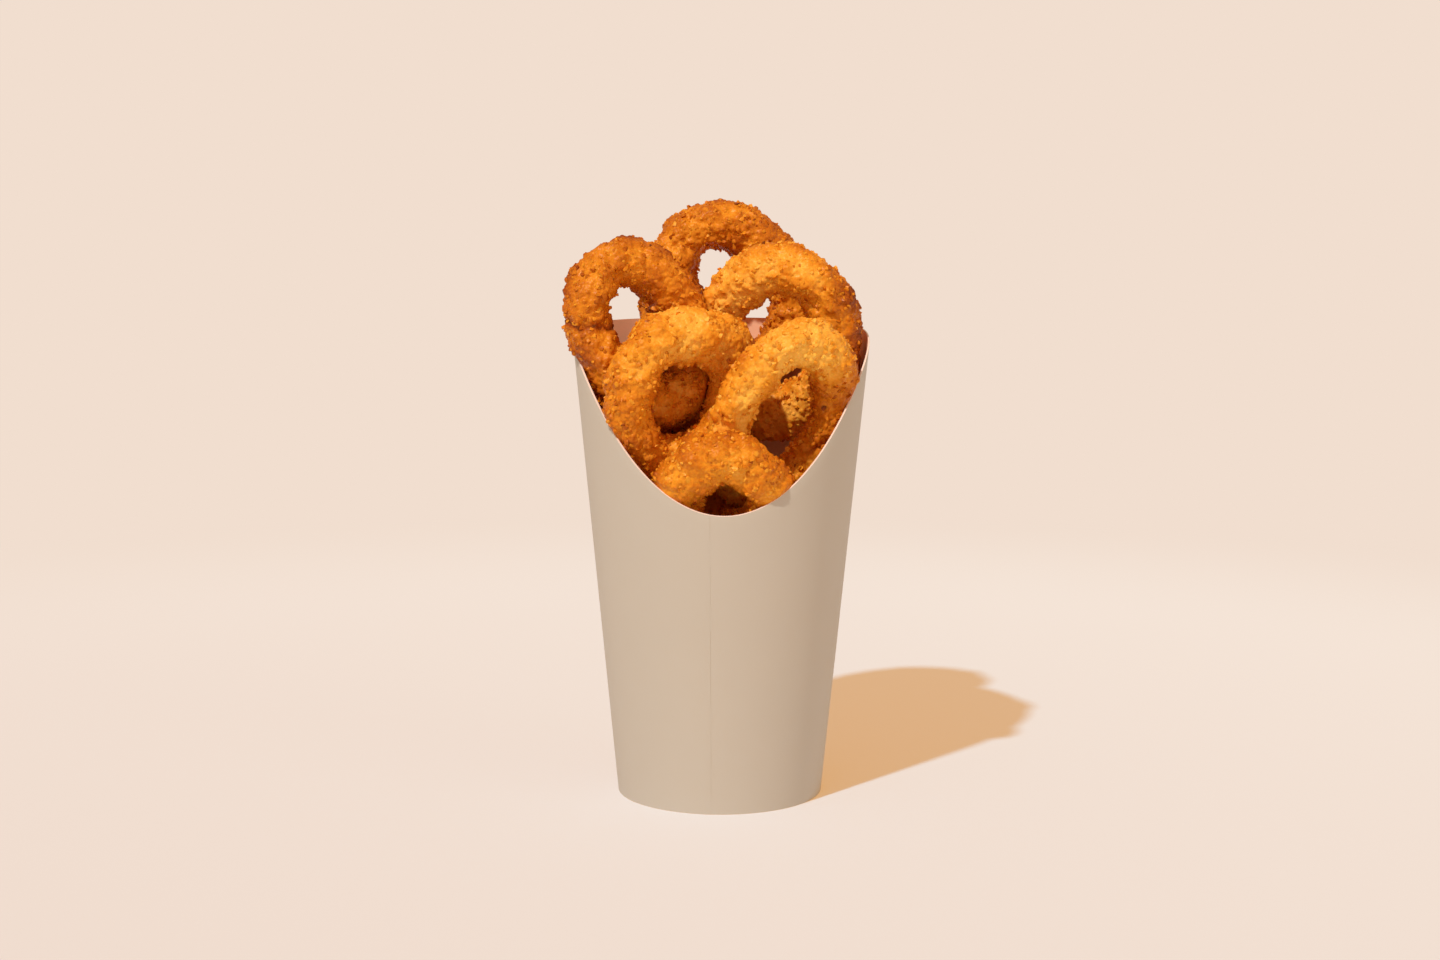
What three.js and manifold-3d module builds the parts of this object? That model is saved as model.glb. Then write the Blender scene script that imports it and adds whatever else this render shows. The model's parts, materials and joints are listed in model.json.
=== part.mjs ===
// A side of crumbed onion rings, standing in a paper scoop cup.
// Millimetres, +Z up, the low front of the cup faces -Y. The origin is on the table,
// under the middle of the whole outline as seen from above.
import * as THREE from 'three';
import { mergeVertices } from 'three/addons/utils/BufferGeometryUtils.js';
import Module from 'manifold-3d';

const wasm = await Module();
wasm.setup();

const DEGREE = Math.PI / 180;

// Where the middle of the outline lies, from the axis of the cup.
const OUTLINE_MIDDLE = { x: -0.8, y: 1.1 };

// The cup: a cone of paperboard, cut low in front and high at the back.
const PAPER = 0.5; // thickness of the board
const GAP = 0.35; // clearance kept between neighbouring pieces
const BASE_RADIUS = 30.8;
const RIM_RADIUS = 45.1;
const BACK_HEIGHT = 142;
const FRONT_HEIGHT = 88.5;
const LIP_TURN = 1.5 * DEGREE; // the low point of the lip lies a little right of the front
const LIP_SLANT = 1.22; // how steeply the cut climbs round the sides
const LIP_SHOULDER = 4; // how firmly it eases into the level back edge
const FOOT_HEIGHT = 7; // height of the hem that is turned in and up round the base
const CUP_COLUMNS = 72;
const OVERHANG = 8; // a ring that leans out over the lip rests on it this far past the wall
const SEAM_ANGLE = -4.5 * DEGREE; // cut edge of the outer layer, left of the front
const SEAM_STEP = 0.1 * DEGREE; // width of that edge's own face
const SEAM_EASE = 24 * DEGREE; // the outer layer lies flat again this far to the left

// Each ring as it is seen from the front: x to the right, y to the back, z up, of its middle,
// from the axis of the cup at table height. wide and high are its outer size, and lean tips
// its long side to the right. turn brings its left side forward, tip brings its top forward.
// fat is how much thicker its tube is at the clock angle fatAt, inwards from the same outline.
// The foremost comes first, and each one gives way where an earlier one presses into it.
const RINGS = [
  {
    name: 'ring_front_low', x: 0.9, y: -28.4, z: 91.5,
    wide: 43.5, high: 40.5, tube: 15.6, lean: -15, turn: -2, tip: 26, fat: 0, fatAt: 0,
  },
  {
    name: 'ring_front_right', x: 17.6, y: -19.3, z: 115,
    wide: 40, high: 60, tube: 12.5, lean: 24, turn: 21, tip: 24, fat: 1.5, fatAt: 30,
  },
  {
    name: 'ring_front_left', x: -11.4, y: -15.7, z: 120.8,
    wide: 44.5, high: 54, tube: 14.3, lean: 20, turn: 29, tip: 5, fat: 3.5, fatAt: 10,
  },
  {
    name: 'ring_left', x: -23.6, y: -5.8, z: 137.6,
    wide: 41.5, high: 59.5, tube: 14.4, lean: -26, turn: 22, tip: -6, fat: 5, fatAt: 184,
  },
  {
    name: 'ring_right', x: 15.9, y: 7.3, z: 134.2,
    wide: 52.5, high: 60, tube: 15, lean: 11, turn: -14, tip: 20, fat: 2, fatAt: 190,
  },
  {
    name: 'ring_back', x: 2.5, y: 29.2, z: 147.6,
    wide: 53.5, high: 61.5, tube: 15.4, lean: -28, turn: 5, tip: 1, fat: 6, fatAt: 265,
  },
];
// The tops of the rings that lie below, half sunk in the heap that fills the cup.
const SUNKEN_RINGS = [
  { x: -13, y: 14, z: 95, wide: 46, high: 46, tube: 14, lean: 8, turn: -22, tip: -6, fat: 0, fatAt: 0 },
  { x: 15, y: 12, z: 83, wide: 50, high: 24, tube: 14, lean: 6, turn: -10, tip: -62, fat: 0, fatAt: 0 },
  { x: 4, y: 4, z: 86, wide: 30, high: 36, tube: 12, lean: -12, turn: 25, tip: 0, fat: 0, fatAt: 0 },
  { x: -12, y: -8, z: 74, wide: 44, high: 30, tube: 14, lean: -6, turn: 10, tip: -48, fat: 0, fatAt: 0 },
  { x: 16, y: -6, z: 74, wide: 40, high: 26, tube: 13, lean: 12, turn: 0, tip: 50, fat: 0, fatAt: 0 },
];
const RING_STEPS = 28;
const TUBE_STEPS = 12;
const SUNKEN_RING_STEPS = 18;
const SUNKEN_TUBE_STEPS = 8;
const LUMP = 0.04; // share of the tube's radius that one broad lump adds or takes
// Each kind of lump: how often it comes round the ring, and round the tube.
const LUMP_WAVES = [[1, 1], [2, 0], [3, 1], [4, -1], [5, 2], [7, -2]];
const CRAG = 0.22; // size of the small crags
const HEAP_TOP = 72; // level that the packed rings reach in the middle
const HEAP_SHOULDER = { down: 8, in: 6, rise: 6 }; // how its edge is rounded off below that
const HEAP_COLUMNS = 40;
const FIRST_SUNKEN_SEED = 20;

// A repeatable random number from 0 to 1 for each seed.
function randomFrom(seed) {
  let state = seed * 7919;
  return () => {
    state = (state + 0x6d2b79f5) | 0;
    let t = Math.imul(state ^ (state >>> 15), 1 | state);
    t = (t + Math.imul(t ^ (t >>> 7), 61 | t)) ^ t;
    return ((t ^ (t >>> 14)) >>> 0) / 4294967296;
  };
}

// Turns rows of points, which wrap round both ways, into a closed geometry.
function gridGeometry(rows) {
  const count = rows[0].length;
  const index = [];
  rows.forEach((_, i) => {
    const here = i * count;
    const next = ((i + 1) % rows.length) * count;
    for (let j = 0; j < count; j++) {
      const k = (j + 1) % count;
      index.push(here + j, here + k, next + k, here + j, next + k, next + j);
    }
  });
  const geometry = new THREE.BufferGeometry();
  geometry.setAttribute('position', new THREE.Float32BufferAttribute(rows.flat(2), 3));
  geometry.setIndex(index);
  return geometry;
}

// A crumbed ring. Its lumps come from its seed, and swell makes all of it stouter.
function ringGeometry(spec, seed, ringSteps, tubeSteps, swell = 0) {
  const random = randomFrom(seed);
  const waves = LUMP_WAVES.map(([round, about]) => (
    { round, about, phase: random() * 2 * Math.PI, size: LUMP * (0.5 + random()) }
  ));
  const across = (spec.wide - spec.tube) / 2;
  const up = (spec.high - spec.tube) / 2;
  const backPerX = Math.tan(spec.turn * DEGREE);
  const backPerZ = -Math.tan(spec.tip * DEGREE);
  const facing = new THREE.Vector3(backPerX, -1, backPerZ).normalize();
  // From the leaning oval that is seen from the front to the slanting plane of the ring.
  const inPlane = (x, z) => {
    const leaned = new THREE.Vector2(x, z).rotateAround(new THREE.Vector2(), -spec.lean * DEGREE);
    const { x: right, y: top } = leaned;
    return new THREE.Vector3(right, backPerX * right + backPerZ * top, top);
  };
  const rows = [];
  for (let i = 0; i < ringSteps; i++) {
    const a = (i / ringSteps) * 2 * Math.PI;
    const fat = (spec.fat / 2) * Math.max(0, Math.cos(a - spec.fatAt * DEGREE)) ** 2;
    const centre = inPlane((across - fat) * Math.sin(a), (up - fat) * Math.cos(a));
    const along = inPlane(across * Math.cos(a), -up * Math.sin(a)).normalize();
    const out = new THREE.Vector3().crossVectors(facing, along);
    const row = [];
    for (let j = 0; j < tubeSteps; j++) {
      const b = (j / tubeSteps) * 2 * Math.PI;
      const lump = waves.reduce(
        (sum, wave) => sum + wave.size * Math.sin(wave.round * a + wave.about * b + wave.phase),
        1,
      );
      const r = (spec.tube / 2 + fat) * lump + CRAG * (2 * random() - 1) + swell;
      const point = centre.clone();
      point.addScaledVector(out, r * Math.cos(b)).addScaledVector(facing, r * Math.sin(b));
      row.push([point.x + spec.x, point.y + spec.y, point.z + spec.z]);
    }
    rows.push(row);
  }
  return gridGeometry(rows);
}

// Height of the lip at an angle round the cup, from the front towards +X.
function lipHeight(angle) {
  const climb = LIP_SLANT * (1 - Math.cos(angle - LIP_TURN));
  const share = climb / (1 + climb ** LIP_SHOULDER) ** (1 / LIP_SHOULDER);
  return FRONT_HEIGHT + (BACK_HEIGHT - FRONT_HEIGHT) * share;
}

function coneRadius(z) {
  return BASE_RADIUS + (RIM_RADIUS - BASE_RADIUS) * z / BACK_HEIGHT;
}

// How far the outer layer stands off at an angle: one thickness of board at the seam's cut
// edge, and less and less to the left of it.
function seamThickness(angle) {
  const left = SEAM_ANGLE - angle;
  if (left < 0 || left > SEAM_EASE) return 0;
  return PAPER * (1 + Math.cos(Math.PI * left / SEAM_EASE)) / 2;
}

// The wall, with its hem turned in under the base. swell makes all its faces stand off, and
// overhang moves the outer face further out.
function wallGeometry(swell = 0, overhang = 0) {
  const angles = Array.from({ length: CUP_COLUMNS }, (_, i) => -Math.PI + (i / CUP_COLUMNS) * 2 * Math.PI);
  angles.push(SEAM_ANGLE, SEAM_ANGLE + SEAM_STEP);
  angles.sort((a, b) => a - b);
  const hem = 2 * PAPER + 2 * GAP; // from the wall's inner face to the hem's inner face
  const rows = angles.map((angle) => {
    const lip = lipHeight(angle) + swell;
    const outer = seamThickness(angle) + swell + overhang;
    const inner = PAPER + swell;
    const profile = [
      [coneRadius(0) + outer, -swell],
      [coneRadius(lip) + outer, lip],
      [coneRadius(lip) - inner, lip],
      [coneRadius(PAPER) - inner, PAPER],
      [coneRadius(PAPER) - inner - hem + PAPER, PAPER],
      [coneRadius(FOOT_HEIGHT) - inner - hem + PAPER, FOOT_HEIGHT],
      [coneRadius(FOOT_HEIGHT) - inner - hem, FOOT_HEIGHT],
      [coneRadius(0) - inner - hem, -swell],
    ];
    return profile.map(([r, z]) => [r * Math.sin(angle), -r * Math.cos(angle), z]);
  });
  return gridGeometry(rows.map((row) => row.reverse()));
}

// A profile of radius and height, turned round the axis of the cup.
function turnedGeometry(profile, columns) {
  const points = profile.map(([r, z]) => new THREE.Vector2(r, z));
  return new THREE.LatheGeometry(points, columns).rotateX(Math.PI / 2);
}

// The base: a disc with a skirt that hangs down between the wall and its hem.
function baseGeometry() {
  const top = FOOT_HEIGHT + GAP + PAPER;
  const bottom = PAPER + GAP;
  const rim = (z) => coneRadius(z) - PAPER - GAP;
  const profile = [
    [0, top - PAPER], [rim(top - PAPER) - PAPER, top - PAPER], [rim(bottom) - PAPER, bottom],
    [rim(bottom), bottom], [rim(top), top], [0, top],
  ];
  return turnedGeometry(profile, CUP_COLUMNS);
}

// The rings below as one packed body, filling the cup up to the heap's level.
function packedGeometry() {
  const bottom = FOOT_HEIGHT + PAPER + 2 * GAP;
  const side = (z) => coneRadius(z) - PAPER - GAP;
  const shoulder = HEAP_TOP - HEAP_SHOULDER.down;
  const profile = [
    [0, bottom], [side(bottom), bottom], [side(shoulder), shoulder],
    [side(HEAP_TOP) - HEAP_SHOULDER.in, shoulder + HEAP_SHOULDER.rise], [0, HEAP_TOP],
  ];
  return turnedGeometry(profile, HEAP_COLUMNS);
}

// Solids for cutting and joining, and their way back to a geometry.
function solidOf(geometry) {
  const bare = geometry.clone();
  bare.deleteAttribute('normal');
  bare.deleteAttribute('uv');
  const merged = mergeVertices(bare);
  return new wasm.Manifold(new wasm.Mesh({
    numProp: 3,
    vertProperties: merged.attributes.position.array,
    triVerts: new Uint32Array(merged.index.array),
  }));
}

function geometryOf(solid) {
  const largest = solid.decompose().sort((a, b) => b.volume() - a.volume())[0];
  const { vertProperties, triVerts } = largest.getMesh();
  const geometry = new THREE.BufferGeometry();
  geometry.setAttribute('position', new THREE.BufferAttribute(new Float32Array(vertProperties), 3));
  geometry.setIndex(Array.from(triVerts));
  return geometry;
}

const paperboard = new THREE.MeshStandardMaterial({ color: '#cdbda8', roughness: 0.75 });
const crumbCrust = new THREE.MeshStandardMaterial({ color: '#d98a24', roughness: 0.6 });

function named(name, geometry, material) {
  const mesh = new THREE.Mesh(geometry, material);
  mesh.name = name;
  mesh.geometry.computeVertexNormals();
  return mesh;
}

const serving = new THREE.Group();
serving.add(named('cup_wall', wallGeometry(), paperboard));
serving.add(named('cup_base', baseGeometry(), paperboard));

// What stands in the way of the next piece: the wall, and every ring that is placed already.
let taken = solidOf(wallGeometry(GAP, OVERHANG));
RINGS.forEach((spec, i) => {
  const shape = solidOf(ringGeometry(spec, i + 1, RING_STEPS, TUBE_STEPS));
  serving.add(named(spec.name, geometryOf(shape.subtract(taken)), crumbCrust));
  taken = taken.add(solidOf(ringGeometry(spec, i + 1, RING_STEPS, TUBE_STEPS, GAP)));
});

const heap = SUNKEN_RINGS.reduce(
  (sum, spec, i) => {
    const seed = FIRST_SUNKEN_SEED + i;
    return sum.add(solidOf(ringGeometry(spec, seed, SUNKEN_RING_STEPS, SUNKEN_TUBE_STEPS)));
  },
  solidOf(packedGeometry()),
);
serving.add(named('rings_below', geometryOf(heap.subtract(taken)), crumbCrust));

serving.position.set(-OUTLINE_MIDDLE.x, -OUTLINE_MIDDLE.y, 0);
const onionRings = new THREE.Group();
onionRings.add(serving);

export default onionRings;
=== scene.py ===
"""A side of crumbed onion rings in a paper scoop cup: its finished look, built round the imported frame.

Everything is in metres, +Z up, with the low front of the cup facing -Y.
"""

from __future__ import annotations

import json
import logging
import math
from dataclasses import dataclass, field
from enum import Enum
from typing import Any

import bpy
import numpy as np
from mathutils import Matrix, Vector
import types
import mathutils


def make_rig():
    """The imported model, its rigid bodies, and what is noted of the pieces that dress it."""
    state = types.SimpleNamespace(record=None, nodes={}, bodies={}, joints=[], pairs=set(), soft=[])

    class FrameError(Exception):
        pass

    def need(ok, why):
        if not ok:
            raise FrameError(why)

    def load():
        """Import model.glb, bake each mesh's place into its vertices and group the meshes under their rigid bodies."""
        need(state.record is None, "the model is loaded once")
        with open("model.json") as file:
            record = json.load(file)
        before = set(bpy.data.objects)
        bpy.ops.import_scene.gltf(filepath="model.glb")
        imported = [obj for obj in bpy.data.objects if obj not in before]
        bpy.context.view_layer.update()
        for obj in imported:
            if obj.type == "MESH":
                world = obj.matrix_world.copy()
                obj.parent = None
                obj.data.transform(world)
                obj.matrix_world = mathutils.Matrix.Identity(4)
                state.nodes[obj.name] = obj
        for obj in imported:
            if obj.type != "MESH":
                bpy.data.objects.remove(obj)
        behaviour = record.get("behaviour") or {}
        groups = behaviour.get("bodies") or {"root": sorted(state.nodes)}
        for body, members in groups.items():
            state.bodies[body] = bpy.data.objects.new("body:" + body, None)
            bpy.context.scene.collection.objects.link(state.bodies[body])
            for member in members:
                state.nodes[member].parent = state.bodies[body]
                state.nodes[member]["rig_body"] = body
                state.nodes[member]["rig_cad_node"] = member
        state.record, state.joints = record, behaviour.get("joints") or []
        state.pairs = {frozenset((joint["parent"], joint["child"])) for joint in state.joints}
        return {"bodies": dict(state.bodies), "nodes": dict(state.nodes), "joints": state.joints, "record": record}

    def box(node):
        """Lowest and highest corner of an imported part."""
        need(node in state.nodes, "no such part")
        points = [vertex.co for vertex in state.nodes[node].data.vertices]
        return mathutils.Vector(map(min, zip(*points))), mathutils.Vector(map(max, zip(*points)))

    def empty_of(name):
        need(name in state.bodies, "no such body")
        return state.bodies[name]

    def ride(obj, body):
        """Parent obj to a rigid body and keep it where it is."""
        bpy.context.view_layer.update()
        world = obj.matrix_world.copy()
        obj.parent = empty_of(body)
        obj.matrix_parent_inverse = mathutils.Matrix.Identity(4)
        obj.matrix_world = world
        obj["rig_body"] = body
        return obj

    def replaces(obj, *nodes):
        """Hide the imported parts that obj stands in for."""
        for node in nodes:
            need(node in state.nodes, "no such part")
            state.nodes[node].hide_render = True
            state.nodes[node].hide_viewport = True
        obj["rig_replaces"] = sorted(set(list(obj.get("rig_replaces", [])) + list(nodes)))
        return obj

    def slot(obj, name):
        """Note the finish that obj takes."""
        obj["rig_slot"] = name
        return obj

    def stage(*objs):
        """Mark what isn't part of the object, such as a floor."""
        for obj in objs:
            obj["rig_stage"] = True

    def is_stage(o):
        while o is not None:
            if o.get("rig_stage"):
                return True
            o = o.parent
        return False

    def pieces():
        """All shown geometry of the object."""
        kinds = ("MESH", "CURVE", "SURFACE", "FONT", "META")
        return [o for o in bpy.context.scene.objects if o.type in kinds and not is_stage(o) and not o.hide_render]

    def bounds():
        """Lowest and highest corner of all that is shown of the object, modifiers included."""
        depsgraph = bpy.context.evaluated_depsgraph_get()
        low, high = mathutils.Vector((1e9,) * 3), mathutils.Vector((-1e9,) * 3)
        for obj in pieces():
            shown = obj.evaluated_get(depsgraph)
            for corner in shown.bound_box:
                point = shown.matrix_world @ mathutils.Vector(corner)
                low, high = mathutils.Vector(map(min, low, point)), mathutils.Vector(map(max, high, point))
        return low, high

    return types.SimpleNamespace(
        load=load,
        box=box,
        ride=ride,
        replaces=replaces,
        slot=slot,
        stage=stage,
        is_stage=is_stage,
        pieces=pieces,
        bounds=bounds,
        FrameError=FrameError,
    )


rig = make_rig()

LOG = logging.getLogger("onion_rings")
MM = 0.001
SIZE_FILE = "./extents.json"
# Nearly all of a noise lies between these two values.
NOISE_RANGE = (0.3, 0.7)
# Keeps a division clear of zero.
TINY = 1e-9


class Slot(Enum):
    """The record's material slots that the new pieces take."""

    OUTSIDE = "paper_outside"
    CRUST = "crumb_crust"


def linear(colour: str) -> tuple[float, float, float, float]:
    """Turns an sRGB hex colour to linear values.

    Args:
        colour: Six hex digits after a hash sign.

    Returns:
        Red, green, blue and a full alpha.
    """
    shares = [int(colour[i : i + 2], 16) / 255 for i in (1, 3, 5)]
    return (*(c / 12.92 if c <= 0.04045 else ((c + 0.055) / 1.055) ** 2.4 for c in shares), 1.0)


def add_node(tree: bpy.types.NodeTree, kind: str, inputs: dict | None = None, **settings: Any) -> Any:
    """Adds a node with its settings, values and links.

    Args:
        tree: The node tree.
        kind: The node's type.
        inputs: A value, or another node's output, for each input's name or number.
        **settings: The node's own properties.

    Returns:
        The new node.
    """
    made = tree.nodes.new(kind)
    for name, value in settings.items():
        setattr(made, name, value)
    for key, value in (inputs or {}).items():
        named = [s for s in made.inputs if s.name == key and s.enabled]
        socket = made.inputs[key] if isinstance(key, int) else named[0]
        if isinstance(value, bpy.types.NodeSocket):
            tree.links.new(value, socket)
        else:
            socket.default_value = value
    return made


def noise(tree: bpy.types.NodeTree, place: Any, width: float, detail: float) -> Any:
    """Adds noise of a real width.

    Args:
        tree: The node tree.
        place: The output that gives each place.
        width: How wide one swell of the noise is.
        detail: How many finer layers lie on it.

    Returns:
        The noise, as an output.
    """
    settings = {"Vector": place, "Scale": 1 / width, "Detail": detail}
    return add_node(tree, "ShaderNodeTexNoise", settings).outputs["Fac"]


def mapped(
    tree: bpy.types.NodeTree,
    value: Any,
    before: tuple[float, float],
    after: tuple[float, float] = (0.0, 1.0),
    **settings: Any,
) -> Any:
    """Maps a value from one range to another, and keeps it within the new one.

    Args:
        tree: The node tree.
        value: The output to map.
        before: Both ends of the range that it comes in.
        after: Both ends of the new range.
        **settings: The node's own properties.

    Returns:
        The mapped value, as an output.
    """
    inputs = {"Value": value, 1: before[0], 2: before[1], 3: after[0], 4: after[1]}
    return add_node(tree, "ShaderNodeMapRange", inputs, **settings).outputs[0]


def calculated(tree: bpy.types.NodeTree, operation: str, *values: Any) -> Any:
    """Does one sum on numbers and outputs, and returns its output."""
    return add_node(tree, "ShaderNodeMath", dict(enumerate(values)), operation=operation).outputs[0]


def stored(tree: bpy.types.NodeTree, name: str) -> Any:
    """Reads a number that the mesh keeps under a name, and returns its output."""
    reader = add_node(tree, "GeometryNodeInputNamedAttribute", {"Name": name}, data_type="FLOAT")
    return reader.outputs["Attribute"]


def keep_toast_and_painted_light(tree: bpy.types.NodeTree, geometry: Any, toast: Any, domain: str) -> Any:
    """Keeps how toasted each point or crumb is, with its painted shade and painted light, where the material reads it.

    Args:
        tree: The node tree.
        geometry: The geometry's output.
        toast: The value's output.
        domain: Whether it is kept for points or for whole crumbs.

    Returns:
        The geometry with the value, as an output.
    """
    return add_node(
        tree,
        "GeometryNodeStoreNamedAttribute",
        {"Geometry": geometry, "Name": "toast", "Value": toast},
        data_type="FLOAT",
        domain=domain,
    ).outputs[0]


def drawn(tree: bpy.types.NodeTree, kind: str, least: Any, most: Any, seed: int) -> Any:
    """Draws a number or a vector for each point.

    Args:
        tree: The node tree.
        kind: The node's name for what is drawn.
        least: The lower end of the range.
        most: The upper end of the range.
        seed: Tells this draw from the others.

    Returns:
        What is drawn, as an output.
    """
    inputs = {"Min": least, "Max": most, "Seed": seed}
    made = add_node(tree, "FunctionNodeRandomValue", inputs, data_type=kind)
    return next(s for s in made.outputs if s.enabled)


def new_material(name: str) -> tuple[bpy.types.Material, bpy.types.NodeTree]:
    """Makes an empty node material.

    Args:
        name: The finish's plain name.

    Returns:
        The material and its node tree.
    """
    material = bpy.data.materials.new(name)
    material.use_nodes = True
    material.node_tree.nodes.clear()
    return material, material.node_tree


def select_only(thing: bpy.types.Object) -> None:
    """Makes one object the only selected one, and the active one."""
    if bpy.context.mode != "OBJECT":
        bpy.ops.object.mode_set(mode="OBJECT")
    bpy.ops.object.select_all(action="DESELECT")
    thing.select_set(True)
    bpy.context.view_layer.objects.active = thing


def added(name: str) -> bpy.types.Object:
    """Names the primitive that was just added, and its mesh."""
    thing = bpy.context.view_layer.objects.active
    thing.name = thing.data.name = name
    return thing


def apply_modifier(thing: bpy.types.Object, kind: str, **settings: Any) -> None:
    """Adds a modifier and applies it.

    Args:
        thing: The object to finish.
        kind: The modifier's type.
        **settings: The modifier's properties.
    """
    select_only(thing)
    modifier = thing.modifiers.new(kind.lower(), kind)
    for name, value in settings.items():
        setattr(modifier, name, value)
    bpy.ops.object.modifier_apply(modifier=modifier.name)


def points_of(thing: bpy.types.Object) -> np.ndarray:
    """The places of a mesh's vertices, one row each."""
    flat = np.empty(len(thing.data.vertices) * 3, np.float32)
    thing.data.vertices.foreach_get("co", flat)
    return flat.reshape(-1, 3).astype(float)


def normals_of(thing: bpy.types.Object) -> np.ndarray:
    """The normals of a mesh's vertices, one row each."""
    flat = np.empty(len(thing.data.vertices) * 3, np.float32)
    thing.data.vertex_normals.foreach_get("vector", flat)
    return flat.reshape(-1, 3).astype(float)


def move_points(thing: bpy.types.Object, points: np.ndarray) -> None:
    """Puts a mesh's vertices in new places."""
    thing.data.vertices.foreach_set("co", points.astype(np.float32).ravel())
    thing.data.update()


def keep_values(thing: bpy.types.Object, name: str, values: np.ndarray) -> None:
    """Stores one number for each vertex of a mesh under a name."""
    attribute = thing.data.attributes.new(name, "FLOAT", "POINT")
    attribute.data.foreach_set("value", values.astype(np.float32))


def place_piece(thing: bpy.types.Object, slot: Slot, *nodes: str) -> None:
    """Hands a finished piece to the frame.

    Args:
        thing: The piece.
        slot: The material slot of its finish.
        *nodes: The CAD nodes that it stands for.
    """
    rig.ride(thing, "root")
    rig.slot(thing, slot.value)
    if nodes:
        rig.replaces(thing, *nodes)
    LOG.info("%s: %d faces", thing.name, len(thing.data.polygons))


@dataclass(frozen=True)
class CrumbCrust:
    """Breadcrumb crust, fried in oil: rough, golden where thin and brown where it stands out.

    Each crumb is a small grain with an oily film, so it glints, and light goes a little way in. The colours stand at
    the values of toasting, from pale to burnt, which hold painted shade and painted light too, and two noises make
    every place uneven.
    """

    pale: str = "#FFC050"
    golden: str = "#EE9A24"
    orange: str = "#D07512"
    toasted: str = "#A0480A"
    burnt: str = "#6A2E0E"
    toasting: tuple[float, ...] = (0.05, 0.34, 0.6, 0.84, 1.0)
    unevenness: float = 0.16
    speck_width: float = 0.7 * MM
    cloud_width: float = 11 * MM
    grit_width: float = 0.3 * MM
    grit_height: float = 0.15 * MM
    sheen: str = "#FFD08A"
    roughness: float = 0.5
    roughness_spread: float = 0.12
    oil: float = 0.12
    depth: float = 1.2 * MM

    def colour(self, tree: bpy.types.NodeTree, tone: Any) -> Any:
        """Adds the ramp from a pale crust to a burnt one.

        Args:
            tree: The material's tree.
            tone: The output that says how toasted each place is.

        Returns:
            The colour, as an output.
        """
        ramp = add_node(tree, "ShaderNodeValToRGB", {"Fac": tone})
        stops = ramp.color_ramp.elements
        colours = (self.pale, self.golden, self.orange, self.toasted, self.burnt)
        first, *between, last = zip(self.toasting, colours)
        for stop, (position, colour) in zip(stops, (first, last)):
            stop.position, stop.color = position, linear(colour)
        for position, colour in between:
            stops.new(position).color = linear(colour)
        return ramp.outputs["Color"]

    def material(self) -> bpy.types.Material:
        """Makes the crust's material, which reads from the mesh how toasted each place is, painted shade and painted
        light included.

        Returns:
            The material.
        """
        material, tree = new_material("fried_crumb_crust")
        place = add_node(tree, "ShaderNodeTexCoord").outputs["Object"]
        toast = add_node(tree, "ShaderNodeAttribute", attribute_name="toast").outputs["Fac"]
        specks = noise(tree, place, self.speck_width, 2.0)
        clouds = noise(tree, place, self.cloud_width, 2.0)
        both = calculated(tree, "ADD", specks, clouds)
        both_range = (2 * NOISE_RANGE[0], 2 * NOISE_RANGE[1])
        uneven = mapped(tree, both, both_range, (-self.unevenness, self.unevenness))
        tone = calculated(tree, "ADD", toast, uneven)
        spread = (self.roughness - self.roughness_spread, self.roughness + self.roughness_spread)
        rough = mapped(tree, specks, NOISE_RANGE, spread)
        grit = noise(tree, place, self.grit_width, 1.0)
        bump = add_node(
            tree, "ShaderNodeBump", {"Height": grit, "Strength": 0.6, "Distance": self.grit_height}
        ).outputs[0]
        shader = add_node(
            tree,
            "ShaderNodeBsdfPrincipled",
            {
                "Base Color": self.colour(tree, tone),
                "Roughness": rough,
                "Normal": bump,
                "IOR": 1.47,
                "Specular IOR Level": 0.4,
                "Specular Tint": linear(self.sheen),
                "Subsurface Weight": 0.15,
                "Subsurface Radius": (1.0, 0.4, 0.12),
                "Subsurface Scale": self.depth,
                "Coat Weight": self.oil,
                "Coat Roughness": 0.3,
            },
        )
        add_node(tree, "ShaderNodeOutputMaterial", {"Surface": shader.outputs[0]})
        return material


@dataclass(frozen=True)
class Paperboard:
    """Coated paperboard, calendered smooth: matt, with a faint broad sheen and hardly any grain."""

    name: str
    colour: str
    mottled: str
    roughness: float = 0.62
    cloud_width: float = 14 * MM
    cloud_range: tuple[float, float] = (0.35, 0.7)
    fibre_width: float = 0.5 * MM
    fibre_height: float = 0.02 * MM

    def material(self) -> bpy.types.Material:
        """Makes the board's material, faintly mottled as pulp is.

        Returns:
            The material.
        """
        material, tree = new_material(self.name)
        place = add_node(tree, "ShaderNodeTexCoord").outputs["Object"]
        clouds = noise(tree, place, self.cloud_width, 3.0)
        colour = add_node(
            tree,
            "ShaderNodeMix",
            {0: mapped(tree, clouds, self.cloud_range), 6: linear(self.colour), 7: linear(self.mottled)},
            data_type="RGBA",
        ).outputs[2]
        fibres = noise(tree, place, self.fibre_width, 2.0)
        bump = add_node(
            tree, "ShaderNodeBump", {"Height": fibres, "Strength": 0.15, "Distance": self.fibre_height}
        ).outputs[0]
        shader = add_node(
            tree,
            "ShaderNodeBsdfPrincipled",
            {"Base Color": colour, "Roughness": self.roughness, "Normal": bump, "IOR": 1.45},
        )
        add_node(tree, "ShaderNodeOutputMaterial", {"Surface": shader.outputs[0]})
        return material


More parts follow.
